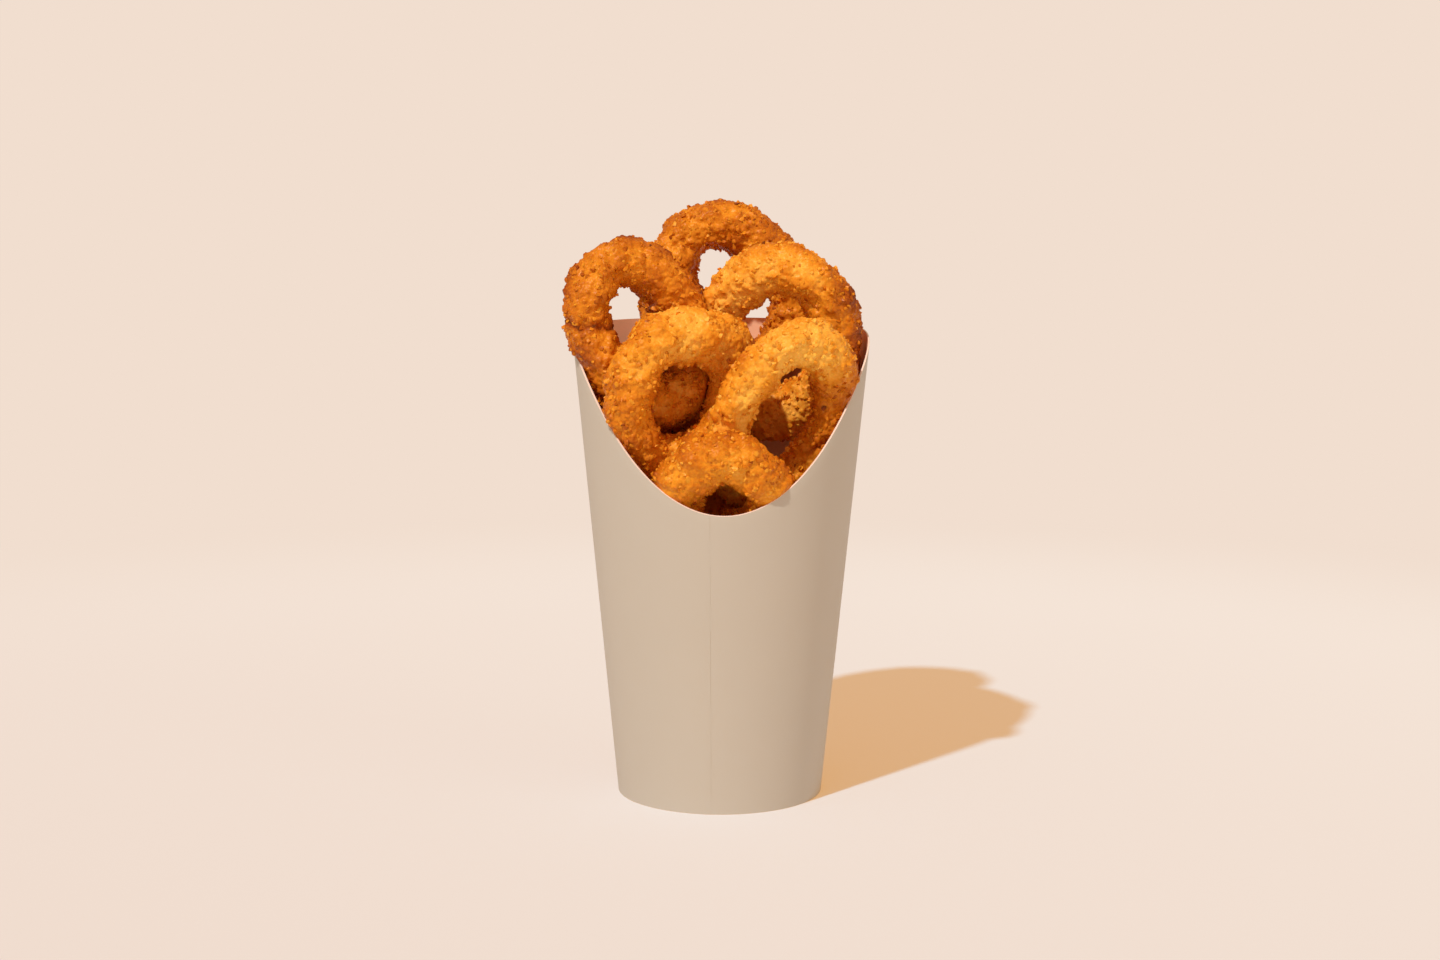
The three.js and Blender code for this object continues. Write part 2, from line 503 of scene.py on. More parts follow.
@dataclass
class PaperScoopCup:
    """The cup: a cone of paperboard, cut low in front and high at the back, with a seam in front.

    The lip's curve climbs with lip_slant and levels off with lip_shoulder. At the seam the outer layer's
    cut edge stands off by seam_pressed of a board, because the layers are pressed together there. A place
    belongs to the outside down to outer_share of the board's thickness, and to the cut edge at the lip down
    to edge_share of it.
    """

    axis: Vector
    height: float
    rim_radius: float
    base_radius: float = 30.8 * MM
    front_height: float = 88.5 * MM
    lip_turn: float = math.radians(1.5)
    lip_slant: float = 1.22
    lip_shoulder: float = 4.0
    board: float = 0.5 * MM
    gap: float = 0.35 * MM
    foot_height: float = 7.0 * MM
    edge_round: float = 0.2 * MM
    seam_angle: float = math.radians(-4.5)
    seam_step: float = math.radians(0.1)
    seam_ease: float = math.radians(24)
    seam_pressed: float = 0.18
    outer_share: float = 0.8
    edge_share: float = 0.95
    edge_reach: float = 1.2
    columns: int = 240
    rows: int = 24

    def cone(self, z: np.ndarray | float) -> np.ndarray | float:
        """The radius of the cone at a height."""
        return self.base_radius + (self.rim_radius - self.base_radius) * z / self.height

    def lip(self, angle: np.ndarray) -> np.ndarray:
        """The height of the lip.

        Args:
            angle: The angles from the front towards +X.

        Returns:
            The height at each angle.
        """
        climb = self.lip_slant * (1 - np.cos(angle - self.lip_turn))
        share = climb / (1 + climb**self.lip_shoulder) ** (1 / self.lip_shoulder)
        return self.front_height + (self.height - self.front_height) * share

    def seam(self, angle: np.ndarray) -> np.ndarray:
        """How far the outer layer stands off: most at its cut edge, and less and less to the left.

        Args:
            angle: The angles from the front towards +X.

        Returns:
            The distance at each angle.
        """
        left = self.seam_angle - angle
        eased = self.seam_pressed * self.board * (1 + np.cos(math.pi * left / self.seam_ease)) / 2
        return np.where((left < 0) | (left > self.seam_ease), 0.0, eased)

    def profile(self) -> list[tuple[float, float]]:
        """Draws the wall's cross-section at the back, with its rounded top and its turned-in hem.

        Returns:
            Radius and height of each point, up outside and down inside.
        """
        hem = 2 * self.board + 2 * self.gap
        foot = self.foot_height
        heights = np.linspace(0, self.height - self.edge_round, self.rows)
        up = [(self.cone(z), z) for z in heights]
        corner = self.cone(self.height) - self.edge_round
        for turn in (30, 60, 90):
            turned = math.radians(turn)
            up.append(
                (
                    corner + self.edge_round * math.cos(turned),
                    self.height - self.edge_round * (1 - math.sin(turned)),
                )
            )
        down = [(self.cone(z) - self.board, z) for z in (self.height, *heights[:0:-1])]
        down.append((self.cone(self.board) - self.board, self.board))
        inside = self.cone(self.board) - hem
        down.append((inside, self.board))
        down.append((self.cone(foot) - hem, foot))
        down.append((self.cone(foot) - hem - self.board, foot))
        down.append((self.cone(0) - hem - self.board, 0.0))
        return up + down

    def wall_mesh(self) -> bpy.types.Object:
        """Draws the cross-section by extruding a vertex, spins it round, and cuts the lip to its curve.

        Returns:
            The wall.
        """
        points = [Vector((r, 0.0, z)) for r, z in self.profile()]
        bpy.ops.object.select_all(action="DESELECT")
        bpy.ops.mesh.primitive_plane_add(size=2 * MM, location=(0, 0, 0))
        wall = added("paper_wall")
        bpy.ops.object.mode_set(mode="EDIT")
        bpy.ops.mesh.select_all(action="SELECT")
        bpy.ops.mesh.merge(type="CENTER")
        bpy.ops.transform.translate(value=points[0])
        for here, there in zip(points, points[1:]):
            bpy.ops.mesh.extrude_region_move(TRANSFORM_OT_translate={"value": there - here})
        bpy.ops.object.mode_set(mode="OBJECT")
        for vertex in wall.data.vertices:
            vertex.select = vertex.index in (0, len(points) - 1)
        bpy.ops.object.mode_set(mode="EDIT")
        bpy.ops.mesh.edge_face_add()
        bpy.ops.mesh.select_all(action="SELECT")
        bpy.ops.mesh.delete(type="ONLY_FACE")
        bpy.ops.mesh.select_all(action="SELECT")
        bpy.ops.mesh.spin(steps=self.columns, angle=2 * math.pi, center=(0, 0, 0), axis=(0, 0, 1))
        bpy.ops.mesh.select_all(action="SELECT")
        bpy.ops.mesh.remove_doubles(threshold=0.02 * MM)
        bpy.ops.mesh.normals_make_consistent(inside=False)
        bpy.ops.object.mode_set(mode="OBJECT")
        self.cut_lip(wall)
        return wall

    def cut_lip(self, wall: bpy.types.Object) -> None:
        """Lowers each column of the wall to the lip's curve, and lifts the outer layer at the seam.

        Args:
            wall: The wall, as high as its back all round, and centred on the origin.
        """
        points = points_of(wall)
        angle = np.arctan2(points[:, 0], -points[:, 1])
        step = 2 * math.pi / self.columns
        # The two columns at the seam close up to its cut edge.
        off = angle - self.seam_angle
        angle = np.where((off <= 0) & (off > -step), self.seam_angle, angle)
        angle = np.where((off > 0) & (off <= step), self.seam_angle + self.seam_step, angle)
        radius = np.hypot(points[:, 0], points[:, 1])
        z = points[:, 2]
        depth = radius - self.cone(z)
        foot = self.foot_height
        above = foot + (z - foot) * (self.lip(angle) - foot) / (self.height - foot)
        near_edge = z > self.height - 2 * self.edge_round
        top = self.lip(angle) - (self.height - z)
        new_z = np.where(near_edge, top, np.where(z > foot, above, z))
        outer = depth > -self.outer_share * self.board
        radius = self.cone(new_z) + depth + np.where(outer, self.seam(angle), 0.0)
        new_x = self.axis.x + radius * np.sin(angle)
        new_y = self.axis.y - radius * np.cos(angle)
        move_points(wall, np.stack([new_x, new_y, new_z], axis=1))

    def finish_faces(self, wall: bpy.types.Object) -> None:
        """Gives the wall's outside, its lining and its cut edges their own materials.

        Args:
            wall: The wall in its place.
        """
        for finish in (
            Paperboard("greige_paperboard", "#C6BFB3", "#C5BEB2"),
            Paperboard("pink_paper_lining", "#FFCDA8", "#FAC49E"),
            Paperboard("cut_paper_edge", "#F8E2D6", "#F5DCCE"),
        ):
            wall.data.materials.append(finish.material())
        # Their numbers in that order. The outside keeps number 0.
        lining, edge = 1, 2
        for face in wall.data.polygons:
            centre = face.center
            radius = math.hypot(centre.x - self.axis.x, centre.y - self.axis.y)
            depth = radius - self.cone(centre.z)
            angle = math.atan2(centre.x - self.axis.x, self.axis.y - centre.y)
            lip = float(self.lip(np.array(angle)))
            if centre.z > lip - self.edge_reach * self.edge_round and depth > -self.edge_share * self.board:
                face.material_index = edge
            elif depth < -self.outer_share * self.board:
                face.material_index = lining

    def build(self) -> None:
        """Builds the wall, and dresses the base that stays as it is."""
        wall = self.wall_mesh()
        self.finish_faces(wall)
        select_only(wall)
        bpy.ops.object.shade_smooth_by_angle(angle=math.radians(35))
        place_piece(wall, Slot.OUTSIDE, "cup_wall")
        base = bpy.data.objects["cup_base"]
        base.data.materials.clear()
        base.data.materials.append(Paperboard("base_paperboard", "#EBC4B0", "#E4BAA5").material())


@dataclass(frozen=True)
class Crease:
    """A crack in a ring's crust: where it is, the direction across it, and its size."""

    place: tuple[float, float, float]
    across: tuple[float, float, float]
    depth: float
    width: float
    reach: float
    swing: tuple[float, float] = (0.5 * MM, 0.4 * MM)
    swing_length: tuple[float, float] = (1.7 * MM, 1.1 * MM)

    def sunk(self, points: np.ndarray) -> np.ndarray:
        """How deep each point lies in the crack, which wanders a little.

        Args:
            points: The points of the crust, one row each.

        Returns:
            A share of the crack's full depth for each point.
        """
        away = points - np.array(self.place)
        across = np.array(self.across) / np.linalg.norm(self.across)
        along_x = self.swing[0] * np.sin(points[:, 0] / self.swing_length[0])
        along_y = self.swing[1] * np.sin(points[:, 1] / self.swing_length[1])
        off = away @ across + (along_x + along_y)
        near = np.clip(2 - 2 * np.linalg.norm(away, axis=1) / self.reach, 0, 1)
        return near * np.exp(-((off / self.width) ** 2))


@dataclass(frozen=True)
class Patch:
    """A spot where the crust is browner, or paler, and flakier than round it: some are painted shade, some painted
    light, and some the crust's own tone or flakes. Its end counts in reaches.
    """

    place: tuple[float, float, float]
    reach: float
    browning_and_painted_light: float
    flakes: float = 0.0
    end: float = 1.4

    def share(self, points: np.ndarray) -> np.ndarray:
        """How much of the patch is at each point: all of it near its middle, and none past its end."""
        away = np.linalg.norm(points - np.array(self.place), axis=1) / self.reach
        return np.clip(self.end - away, 0, 1)


@dataclass(frozen=True)
class ToastingAndPaintedLight:
    """What makes the crust brown, with painted shade in part at its rims and in its cracks, in values that count from
    0 for pale to 1 for burnt.

    A crumb's own value is drawn, and the higher brown_rarity is, the fewer crumbs are brown.
    """

    least: float = 0.08
    grain: float = 0.12
    # Rims: partly frying, partly painted shade.
    edge: float = 0.2
    # Painted shade in the cracks.
    crack: float = 0.35
    clump: float = 0.2
    clump_range: tuple[float, float] = (0.4, 0.75)
    lump: float = 0.22
    lump_range: tuple[float, float] = (0.38, 0.66)
    crumb_least: float = 0.12
    # How far the crumbs follow the crust round them, painted shade and painted light of the patches included.
    crumb_browned_and_painted_light: float = 0.75
    crumb_spread: float = 0.42
    crumb_brown: float = 0.28
    brown_rarity: float = 40.0


@dataclass
class CrumbKit:
    """The loose crumbs, each modelled once: rounded grains, and pointed flakes."""

    grains: bpy.types.Collection = field(init=False)
    flakes: bpy.types.Collection = field(init=False)

    def __post_init__(self) -> None:
        """Models the crumbs."""
        self.grains = self.shapes("grain", 4, (1.0, 0.85, 0.75))
        self.flakes = self.shapes("flake", 3, (0.55, 0.8, 1.7))

    def shapes(self, name: str, count: int, size: tuple[float, float, float]) -> bpy.types.Collection:
        """Models a few uneven crumbs from small spheres.

        Args:
            name: What they are.
            count: How many different ones.
            size: Their length along each axis, for one unit of scale.

        Returns:
            A collection that holds them.
        """
        holder = bpy.data.collections.new(name)
        for number in range(count):
            bpy.ops.object.select_all(action="DESELECT")
            bpy.ops.mesh.primitive_ico_sphere_add(subdivisions=1, radius=0.5, location=(0, 0, 0))
            crumb = added(f"{name}_{number}")
            bpy.ops.object.mode_set(mode="EDIT")
            bpy.ops.mesh.select_all(action="SELECT")
            bpy.ops.transform.vertex_random(offset=0.22, uniform=0.6, normal=0.4, seed=number)
            bpy.ops.transform.resize(value=size)
            bpy.ops.object.mode_set(mode="OBJECT")
            for user in list(crumb.users_collection):
                user.objects.unlink(crumb)
            holder.objects.link(crumb)
        return holder

    def clear(self) -> None:
        """Removes the models, once every ring has its own crumbs."""
        for holder in (self.grains, self.flakes):
            for crumb in list(holder.objects):
                bpy.data.objects.remove(crumb)
            bpy.data.collections.remove(holder)


@dataclass
class CrumbedFood:
    """One crumbed piece: the CAD node's form, with the relief and the crumbs of its crust.

    The relief is lumps, clumps, grit and grains, each with its height and its width. It fades out over the
    distances in relief_room, and the loose crumbs over those in crumb_room, as it nears another piece.
    """

    node: str
    kit: CrumbKit
    crust: bpy.types.Material
    seed: int
    browning_and_painted_light: float = 0.0
    patches: tuple[Patch, ...] = ()
    creases: tuple[Crease, ...] = ()
    toasting: ToastingAndPaintedLight = ToastingAndPaintedLight()
    voxel: float = 0.7 * MM
    smoothing: int = 16
    subdivide: bool = True
    lump: float = 1.3 * MM
    lump_width: float = 8 * MM
    clump: float = 1.7 * MM
    clump_width: float = 3.6 * MM
    grit: float = 0.25 * MM
    grit_width: float = 0.8 * MM
    grain: float = 0.7 * MM
    grain_width: float = 2.2 * MM
    grain_slope: tuple[float, float] = (0.1, 0.62)
    relief_room: tuple[float, float] = (0.2 * MM, 1.8 * MM)
    crumb_room: tuple[float, float] = (0.9 * MM, 1.6 * MM)
    grains_per_mm2: float = 0.2
    grain_sizes: tuple[float, float] = (0.75 * MM, 1.9 * MM)
    flakes_per_mm2: float = 0.08
    flake_sizes: tuple[float, float] = (0.9 * MM, 2.2 * MM)
    flakiness: float = 0.7
    tilt: float = 0.5

    def smooth_form(self) -> bpy.types.Object:
        """Copies the node's mesh, closes it to an even skin, and takes its facets away.

        Returns:
            The smooth form, without relief or crumbs.
        """
        source = bpy.data.objects[self.node]
        form = bpy.data.objects.new(f"crumbed_{self.node}", source.data.copy())
        bpy.context.scene.collection.objects.link(form)
        select_only(form)
        bpy.ops.object.mode_set(mode="EDIT")
        bpy.ops.mesh.select_all(action="SELECT")
        bpy.ops.mesh.remove_doubles(threshold=0.001 * MM)
        bpy.ops.object.mode_set(mode="OBJECT")
        apply_modifier(form, "REMESH", mode="VOXEL", voxel_size=self.voxel)
        apply_modifier(form, "SMOOTH", factor=0.5, iterations=self.smoothing)
        if self.subdivide:
            apply_modifier(form, "SUBSURF", levels=1, render_levels=1)
        return form

    def mark_sides(self, form: bpy.types.Object) -> None:
        """Stores how far each place faces sideways, how flaky it is, and how brown it is, with the painted shade and
        painted light of the patches.

        The crust is flaky round the ring's hole and in the patches.

        Args:
            form: The smooth form.
        """
        points, normals = points_of(form), normals_of(form)
        centre = points.mean(axis=0)
        # Every seventh point is enough to tell which way the ring faces.
        facing = np.linalg.svd(points[::7] - centre, full_matrices=False)[2][2]
        # Rims that face sideways come out browner, partly as the crust's frying and partly as painted shade.
        keep_values(form, "edge", 1 - np.abs(normals @ facing))
        out = points - centre
        out -= np.outer(out @ facing, facing)
        out /= np.linalg.norm(out, axis=1, keepdims=True) + TINY
        flaky = self.flakiness * np.clip(-(normals * out).sum(axis=1), 0, 1)
        browned = np.full(len(points), self.browning_and_painted_light)
        # How brown each place is: the ring's own brownness, plus the patches, some of them painted shade and some
        # painted light.
        for patch in self.patches:
            share = patch.share(points)
            flaky += patch.flakes * share
            browned += patch.browning_and_painted_light * share
        keep_values(form, "flaky", flaky)
        keep_values(form, "browned", browned)

    def cut_creases(self, form: bpy.types.Object) -> None:
        """Sinks the crust along each crack, and stores painted shade in the cracks.

        Args:
            form: The smooth form.
        """
        points, normals = points_of(form), normals_of(form)
        toast = np.zeros(len(points))
        for crease in self.creases:
            sunk = crease.sunk(points)
            points -= normals * (crease.depth * sunk)[:, None]
            toast += self.toasting.crack * sunk
        move_points(form, points)
        keep_values(form, "crack", toast)

    def neighbours(self) -> bpy.types.Object:
        """Joins copies of all the other CAD nodes, for the crust to keep clear of.

        Returns:
            The joined copies.
        """
        copies = []
        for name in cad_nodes():
            if name != self.node:
                copy = bpy.data.objects.new(f"near_{name}", bpy.data.objects[name].data.copy())
                bpy.context.scene.collection.objects.link(copy)
                copies.append(copy)
        select_only(copies[0])
        for copy in copies:
            copy.select_set(True)
        bpy.ops.object.join()
        return copies[0]

    def crust_tree(self, near: bpy.types.Object) -> bpy.types.NodeTree:
        """Draws the nodes that raise the crust's relief and strew its crumbs.

        Args:
            near: What the crust keeps clear of.

        Returns:
            The tree, with one geometry in and one out.
        """
        tree = bpy.data.node_groups.new(f"crust_{self.node}", "GeometryNodeTree")
        tree.interface.new_socket("Geometry", in_out="INPUT", socket_type="NodeSocketGeometry")
        tree.interface.new_socket("Geometry", in_out="OUTPUT", socket_type="NodeSocketGeometry")
        form = add_node(tree, "NodeGroupInput").outputs[0]
        place = add_node(tree, "GeometryNodeInputPosition").outputs[0]
        # Each piece reads the noises at another place, so that no two look alike.
        shift = (0.31 * self.seed, 0.17 * self.seed, 0.0)
        shifted = add_node(
            tree, "ShaderNodeVectorMath", {0: place, 1: shift}, operation="ADD"
        ).outputs[0]
        lumps = noise(tree, shifted, self.lump_width, 1.0)
        clumps = noise(tree, shifted, self.clump_width, 3.0)
        grit = noise(tree, shifted, self.grit_width, 1.0)
        grain = self.grains(tree, shifted)
        swells = [
            mapped(tree, value, (0.0, 1.0), (-size, size))
            for value, size in ((lumps, self.lump), (clumps, self.clump), (grit, self.grit))
        ]
        height = calculated(tree, "ADD", swells[0], swells[1])
        height = calculated(tree, "ADD", height, swells[2])
        height = calculated(tree, "MULTIPLY_ADD", grain, self.grain, height)
        target = add_node(tree, "GeometryNodeObjectInfo", {"Object": near}).outputs["Geometry"]
        distance = add_node(
            tree, "GeometryNodeProximity", {0: target}, target_element="FACES"
        ).outputs["Distance"]
        height = calculated(tree, "MULTIPLY", height, mapped(tree, distance, self.relief_room))
        normal = add_node(tree, "GeometryNodeInputNormal").outputs[0]
        lift = add_node(
            tree, "ShaderNodeVectorMath", {0: normal, "Scale": height}, operation="SCALE"
        ).outputs[0]
        toast = self.toast_and_painted_light_value(tree, grain, clumps, lumps)
        toasted = keep_toast_and_painted_light(tree, form, toast, "POINT")
        raised = add_node(
            tree, "GeometryNodeSetPosition", {"Geometry": toasted, "Offset": lift}
        ).outputs[0]
        # No crumb is left where it would poke into a neighbour or through the paper.
        free = mapped(tree, distance, self.crumb_room)
        flaky = calculated(tree, "MULTIPLY", stored(tree, "flaky"), free)
        loose = [
            self.strewn(tree, raised, self.kit.grains, self.grains_per_mm2, self.grain_sizes, free, 1),
            self.strewn(tree, raised, self.kit.flakes, self.flakes_per_mm2, self.flake_sizes, flaky, 2),
        ]
        joined = add_node(tree, "GeometryNodeJoinGeometry")
        for part in (*loose, raised):
            tree.links.new(part, joined.inputs[0])
        add_node(tree, "NodeGroupOutput", {0: joined.outputs[0]})
        return tree

    def grains(self, tree: bpy.types.NodeTree, place: Any) -> Any:
        """Adds the grains that are baked in: a dome in each cell, every one of another height.

        Args:
            tree: The crust's tree.
            place: The output that gives each place.

        Returns:
            The domes' height as an output, from 0 to 1.
        """
        cells = add_node(
            tree,
            "ShaderNodeTexVoronoi",
            {"Vector": place, "Scale": 1 / self.grain_width, "Randomness": 1.0},
        )
        dome = mapped(
            tree, cells.outputs["Distance"], self.grain_slope, (1.0, 0.0), interpolation_type="SMOOTHSTEP"
        )
        each = add_node(tree, "ShaderNodeSeparateXYZ", {0: cells.outputs["Color"]}).outputs[0]
        return calculated(tree, "MULTIPLY", dome, each)

    def toast_and_painted_light_value(self, tree: bpy.types.NodeTree, grain: Any, clumps: Any, lumps: Any) -> Any:
        """Adds up how toasted the crust is: more on its grains, and more at its edges, partly as painted shade. It
        also takes in painted shade in its cracks, and the patches' painted shade and painted light.

        Args:
            tree: The crust's tree.
            grain: The grains' height, as an output.
            clumps: The noise of the clumps.
            lumps: The noise of the lumps.

        Returns:
            The toasting, as an output.
        """
        toasting = self.toasting
        total = calculated(tree, "MULTIPLY_ADD", grain, toasting.grain, toasting.least)
        for name, share in (("edge", toasting.edge), ("crack", 1.0), ("browned", 1.0)):
            total = calculated(tree, "MULTIPLY_ADD", stored(tree, name), share, total)
        for value, before, most in (
            (clumps, toasting.clump_range, toasting.clump),
            (lumps, toasting.lump_range, toasting.lump),
        ):
            total = calculated(tree, "ADD", total, mapped(tree, value, before, (0.0, most)))
        return total

    def crumb_toast_and_painted_light(self, tree: bpy.types.NodeTree, seed: int) -> Any:
        """Draws how toasted each loose crumb is: most are golden, and a few are brown. Each also follows the crust
        round it, with the patches' painted shade and painted light.

        Args:
            tree: The crust's tree.
            seed: Tells this draw from the others.

        Returns:
            The toasting, as an output.
        """
        toasting = self.toasting
        tone = drawn(tree, "FLOAT", 0.0, 1.0, seed)
        steep = calculated(tree, "POWER", tone, toasting.brown_rarity)
        least = calculated(
            tree, "MULTIPLY_ADD", stored(tree, "browned"), toasting.crumb_browned_and_painted_light, toasting.crumb_least
        )
        few = calculated(tree, "MULTIPLY_ADD", steep, toasting.crumb_brown, least)
        return calculated(tree, "MULTIPLY_ADD", tone, toasting.crumb_spread, few)

    def strewn(
        self,
        tree: bpy.types.NodeTree,
        skin: Any,
        crumbs: bpy.types.Collection,
        per_mm2: float,
        sizes: tuple[float, float],
        share: Any,
        turn: int,
    ) -> Any:
        """Strews one kind of crumb over the crust.

        Args:
            tree: The crust's tree.
            skin: The surface that they stick to.
            crumbs: The modelled crumbs.
            per_mm2: How many lie on a square millimetre, at most.
            sizes: Their least and greatest size.
            share: The output that says how many of them are left at each place.
            turn: Tells this kind's random draws from the other's.

        Returns:
            The crumbs as real geometry.
        """
        # Each piece has ten seeds, and its two kinds of crumb never take the same one.
        seed = 10 * self.seed + turn
        density = calculated(tree, "MULTIPLY", share, per_mm2 / MM**2)
        spots = add_node(
            tree, "GeometryNodeDistributePointsOnFaces", {"Mesh": skin, "Density": density, "Seed": seed}
        )
        models = add_node(
            tree,
            "GeometryNodeCollectionInfo",
            {"Collection": crumbs, "Separate Children": True, "Reset Children": True},
        ).outputs[0]
        size = drawn(tree, "FLOAT", sizes[0], sizes[1], seed)
        most = (self.tilt, self.tilt, math.pi)
        spin = drawn(tree, "FLOAT_VECTOR", tuple(-angle for angle in most), most, seed + 3)
        turned = add_node(
            tree,
            "FunctionNodeRotateRotation",
            {0: spots.outputs["Rotation"], 1: spin},
            rotation_space="LOCAL",
        ).outputs[0]
        placed = add_node(
            tree,
            "GeometryNodeInstanceOnPoints",
            {
                "Points": spots.outputs["Points"],
                "Instance": models,
                "Pick Instance": True,
                "Rotation": turned,
                "Scale": size,
            },
        ).outputs[0]
        toned = keep_toast_and_painted_light(tree, placed, self.crumb_toast_and_painted_light(tree, seed + 5), "INSTANCE")
        return add_node(tree, "GeometryNodeRealizeInstances", {0: toned}).outputs[0]

    def build(self) -> None:
        """Makes the piece and hands it to the frame."""
        form = self.smooth_form()
        self.mark_sides(form)
        self.cut_creases(form)
        near = self.neighbours()
        tree = self.crust_tree(near)
        apply_modifier(form, "NODES", node_group=tree)
        bpy.data.node_groups.remove(tree)
        bpy.data.objects.remove(near)
        form.data.materials.clear()
        form.data.materials.append(self.crust)
        select_only(form)
        bpy.ops.object.shade_smooth_by_angle(angle=math.radians(60))
        place_piece(form, Slot.CRUST, self.node)


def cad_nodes() -> list[str]:
    """The names of the frame's CAD nodes, in order."""
    return sorted(o.name for o in bpy.data.objects if "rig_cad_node" in o)


@dataclass
class OnionRings:
    """The rings that show, and the heap below them."""

    axis: Vector
    kit: CrumbKit
    crust: bpy.types.Material

    def at(self, x: float, y: float, z: float) -> tuple[float, float, float]:
        """A place given in millimetres from the axis of the cup."""
        return (self.axis.x + x * MM, self.axis.y + y * MM, z * MM)

    def creases(self) -> dict[str, tuple[Crease, ...]]:
        """Places the cracks that show.

        Returns:
            The cracks of each ring that has any.
        """
        left = Crease(self.at(-40.5, -13, 141), (0.1, 0, 1), depth=0.8 * MM, width=1.3 * MM, reach=14 * MM)
        right = Crease(self.at(31, -18, 107.5), (-0.5, 0, 0.85), depth=MM, width=MM, reach=9 * MM)
        return {"ring_left": (left,), "ring_front_right": (right,)}

    def patches(self) -> dict[str, tuple[Patch, ...]]:
        """Places the spots where a ring is browner, paler or flakier than the rest of it. Painted shade darkens limbs
        that turn from the lamp, and painted light brightens parts that lie in shadow.

        Returns:
            The patches of each ring that has any.
        """
        return {
            "ring_left": (
                Patch(self.at(-13, -10, 126), 9 * MM, 0.0, 4.0),
                # Painted light on the ring's low end, which lies in the shadow of ring_front_left's arc.
                Patch(self.at(-13, -12, 118), 10 * MM, -0.2),
                Patch(self.at(-40, -14, 130), 9 * MM, 0.08),
            ),
            "ring_right": (
                # Painted shade on the right limb, where it turns from the lamp.
                Patch(self.at(38, 0, 145), 13 * MM, 0.28),
                Patch(self.at(40, 2, 128), 12 * MM, 0.25),
                Patch(self.at(1, 2, 150), 12 * MM, -0.14),
                # Painted light on the low limb seen through ring_front_right's hole.
                Patch(self.at(25, 4, 121), 9 * MM, -0.08),
            ),
            "ring_front_right": (
                # Painted shade on the right limb and below it.
                Patch(self.at(36, -14, 120), 14 * MM, 0.5),
                Patch(self.at(26, -16, 96), 8 * MM, 0.15),
                Patch(self.at(22, -28, 138), 13 * MM, -0.14),
            ),
            "ring_front_left": (
                # Painted shade low on the left limb.
                Patch(self.at(-29, -24, 112), 14 * MM, 0.24),
                Patch(self.at(-10, -20, 142), 13 * MM, -0.16),
            ),
        }

    def build(self) -> None:
        """Builds the rings in the order of their names, then the heap."""
        names = [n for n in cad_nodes() if n.startswith("ring_")]
        browning_and_painted_light = {
            "ring_left": 0.26,
            "ring_back": 0.25,
            "ring_front_low": 0.19,
            "ring_front_left": 0.06,
            "ring_right": 0.04,
            "ring_front_right": 0.0,
        }
        lumpy = {"ring_front_low": 2.2 * MM}
        creases, patches = self.creases(), self.patches()
        for seed, name in enumerate(names, start=1):
            CrumbedFood(
                name,
                self.kit,
                self.crust,
                seed,
                browning_and_painted_light=browning_and_painted_light[name],
                lump=lumpy.get(name, CrumbedFood.lump),
                patches=patches.get(name, ()),
                creases=creases.get(name, ()),
            ).build()
        CrumbedFood(
            "rings_below",
            self.kit,
            self.crust,
            len(names) + 1,
            browning_and_painted_light=0.3,
            voxel=0.8 * MM,
            smoothing=26,
            subdivide=False,
            grains_per_mm2=0.12,
            flakes_per_mm2=0.0,
        ).build()


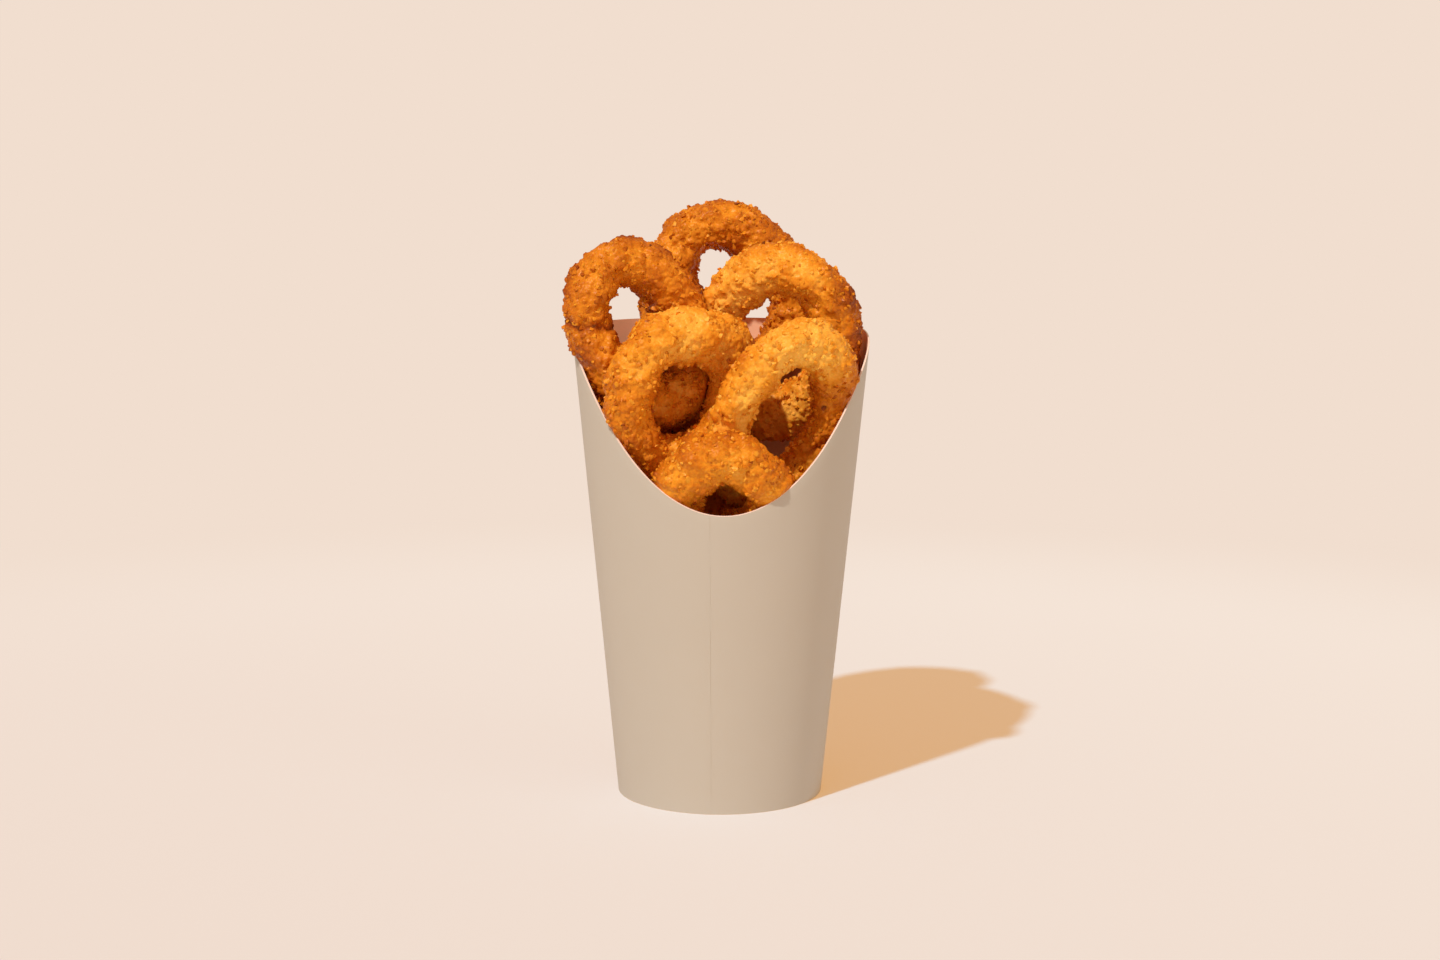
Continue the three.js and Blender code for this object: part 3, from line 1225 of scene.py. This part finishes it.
@dataclass
class Studio:
    """The pale sweep that the cup stands on, the lamps and the camera.

    The lamp lights floor_paint, and floor_glow is there in the shadow too. Where nothing shades the floor,
    the two come out near the backdrop's colour, and over the distances in floor_fade it takes their place.
    """

    axis: Vector
    backdrop: str = "#F1DECF"
    floor_radius: float = 6.0
    floor_drop: float = 0.05 * MM
    floor_paint: tuple[float, float, float] = (0.263, 0.554, 0.82)
    floor_glow: tuple[float, float, float] = (0.587, 0.2246, 0.0146)
    floor_fade: tuple[float, float] = (0.32, 0.62)
    lens: float = 50.74
    sensor: float = 36.0
    camera_offset: tuple[float, float, float] = (-0.24 * MM, -604.6 * MM, 164.0 * MM)
    camera_pitch: float = math.radians(6.59)
    camera_roll: float = math.radians(0.222)
    lamp_turn: float = math.radians(30.1)
    lamp_rise: float = math.radians(50.4)
    lamp_distance: float = 1.198
    lamp_aim: float = 100 * MM
    lamp_size: float = 20 * MM
    lamp_energy: float = 10.0
    lamp_power: float = 3.0
    lamp_colour: str = "#FFF6EC"
    card_place: tuple[float, float, float] = (1.3, -0.9, 0.35)
    card_size: float = 0.9
    card_power: float = 3.3
    card_colour: str = "#FFD9B4"
    fill: str = "#EBC9AA"
    fill_power: float = 0.6

    def aim(self) -> Vector:
        """The place in the middle of the cup that the lamps are aimed at."""
        return Vector((self.axis.x, self.axis.y, self.lamp_aim))

    def lamp_place(self) -> Vector:
        """Works out where the lamp hangs: up to the left, in front.

        Returns:
            Its place.
        """
        flat = math.cos(self.lamp_rise)
        left, ahead = math.sin(self.lamp_turn) * flat, math.cos(self.lamp_turn) * flat
        return self.aim() + Vector((-left, -ahead, math.sin(self.lamp_rise))) * self.lamp_distance

    def camera(self) -> None:
        """Makes the camera at the photograph's viewing angle."""
        data = bpy.data.cameras.new("camera")
        data.sensor_width, data.sensor_fit, data.lens = self.sensor, "HORIZONTAL", self.lens
        data.clip_start, data.clip_end = 0.01, 30.0
        camera = bpy.data.objects.new("camera", data)
        bpy.context.scene.collection.objects.link(camera)
        level = Matrix.Rotation(math.pi / 2 - self.camera_pitch, 4, "X")
        turned = level @ Matrix.Rotation(self.camera_roll, 4, "Z")
        place = Vector((self.axis.x, self.axis.y, 0.0)) + Vector(self.camera_offset)
        camera.matrix_world = Matrix.Translation(place) @ turned
        bpy.context.scene.camera = camera

    def lamp(self) -> None:
        """Hangs the one hard lamp, whose light is as strong at the foot of the cup as at its top."""
        data = bpy.data.lights.new("key_lamp", "POINT")
        data.shadow_soft_size = self.lamp_size
        data.energy = self.lamp_energy
        data.use_nodes = True
        tree = data.node_tree
        tree.nodes.clear()
        power = add_node(tree, "ShaderNodeLightFalloff", {"Strength": self.lamp_power})
        glow = add_node(
            tree,
            "ShaderNodeEmission",
            {"Color": linear(self.lamp_colour), "Strength": power.outputs["Constant"]},
        )
        add_node(tree, "ShaderNodeOutputLight", {"Surface": glow.outputs[0]})
        lamp = bpy.data.objects.new("key_lamp", data)
        bpy.context.scene.collection.objects.link(lamp)
        lamp.location = self.lamp_place()

    def card(self) -> None:
        """Stands a wide pale card to the right, which softens the shaded side of the cup."""
        data = bpy.data.lights.new("bounce_card", "AREA")
        data.shape, data.size = "SQUARE", self.card_size
        data.energy = self.card_power
        data.color = linear(self.card_colour)[:3]
        card = bpy.data.objects.new("bounce_card", data)
        bpy.context.scene.collection.objects.link(card)
        card.location = Vector(self.card_place)
        card.rotation_euler = (self.aim() - card.location).to_track_quat("-Z", "Y").to_euler()

    def world(self) -> None:
        """Fills the room with warm light, and shows the backdrop's colour behind everything."""
        world = bpy.data.worlds.new("studio")
        world.use_nodes = True
        tree = world.node_tree
        tree.nodes.clear()
        fill = add_node(
            tree, "ShaderNodeBackground", {"Color": linear(self.fill), "Strength": self.fill_power}
        )
        seen = add_node(tree, "ShaderNodeBackground", {"Color": linear(self.backdrop), "Strength": 1.0})
        camera_ray = add_node(tree, "ShaderNodeLightPath").outputs["Is Camera Ray"]
        both = add_node(
            tree, "ShaderNodeMixShader", {0: camera_ray, 1: fill.outputs[0], 2: seen.outputs[0]}
        )
        add_node(tree, "ShaderNodeOutputWorld", {"Surface": both.outputs[0]})
        bpy.context.scene.world = world

    def floor(self) -> None:
        """Lays the floor: evenly lit near the cup, and glowing like the backdrop far from it."""
        bpy.ops.object.select_all(action="DESELECT")
        bpy.ops.mesh.primitive_circle_add(
            vertices=96, radius=self.floor_radius, fill_type="NGON", location=(0, 0, -self.floor_drop)
        )
        floor = added("floor")
        material, tree = new_material("pale_sweep")
        place = add_node(tree, "ShaderNodeTexCoord").outputs["Object"]
        lamp = self.lamp_place()
        away = add_node(
            tree, "ShaderNodeVectorMath", {0: place, 1: tuple(lamp)}, operation="DISTANCE"
        ).outputs["Value"]
        # Farther off the lamp strikes the floor at a flatter angle, and the paint makes up for that.
        here = calculated(tree, "DIVIDE", away, lamp.length)
        even = add_node(
            tree, "ShaderNodeVectorMath", {0: self.floor_paint, "Scale": here}, operation="SCALE"
        ).outputs[0]
        diffuse = add_node(tree, "ShaderNodeBsdfDiffuse", {"Color": even})
        shine = add_node(
            tree, "ShaderNodeEmission", {"Color": (*self.floor_glow, 1.0), "Strength": 1.0}
        )
        near = add_node(tree, "ShaderNodeAddShader", {0: diffuse.outputs[0], 1: shine.outputs[0]})
        far = add_node(tree, "ShaderNodeEmission", {"Color": linear(self.backdrop), "Strength": 1.0})
        out = add_node(tree, "ShaderNodeVectorMath", {0: place}, operation="LENGTH").outputs["Value"]
        share = mapped(tree, out, self.floor_fade, interpolation_type="SMOOTHSTEP")
        both = add_node(tree, "ShaderNodeMixShader", {0: share, 1: near.outputs[0], 2: far.outputs[0]})
        add_node(tree, "ShaderNodeOutputMaterial", {"Surface": both.outputs[0]})
        floor.data.materials.append(material)
        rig.stage(floor)

    def build(self) -> None:
        """Sets the stage."""
        self.camera()
        self.lamp()
        self.card()
        self.world()
        self.floor()
        bpy.context.scene.view_settings.view_transform = "Standard"
        bpy.context.scene.view_settings.look = "None"


def main() -> None:
    """Builds everything round the frame, in order, and notes the sizes of the frame and the result."""
    logging.basicConfig(level=logging.INFO, format="%(name)s %(message)s")
    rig.load()
    frame_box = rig.bounds()
    low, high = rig.box("cup_base")
    axis = (low + high) / 2
    wall_low, wall_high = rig.box("cup_wall")
    Studio(axis).build()
    PaperScoopCup(axis, height=wall_high.z, rim_radius=(wall_high.x - wall_low.x) / 2).build()
    kit = CrumbKit()
    OnionRings(axis, kit, CrumbCrust().material()).build()
    kit.clear()
    visual_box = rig.bounds()
    with open(SIZE_FILE, "w") as file:
        json.dump([[list(corner) for corner in box] for box in (frame_box, visual_box)], file)


if __name__ == "__main__":
    main()
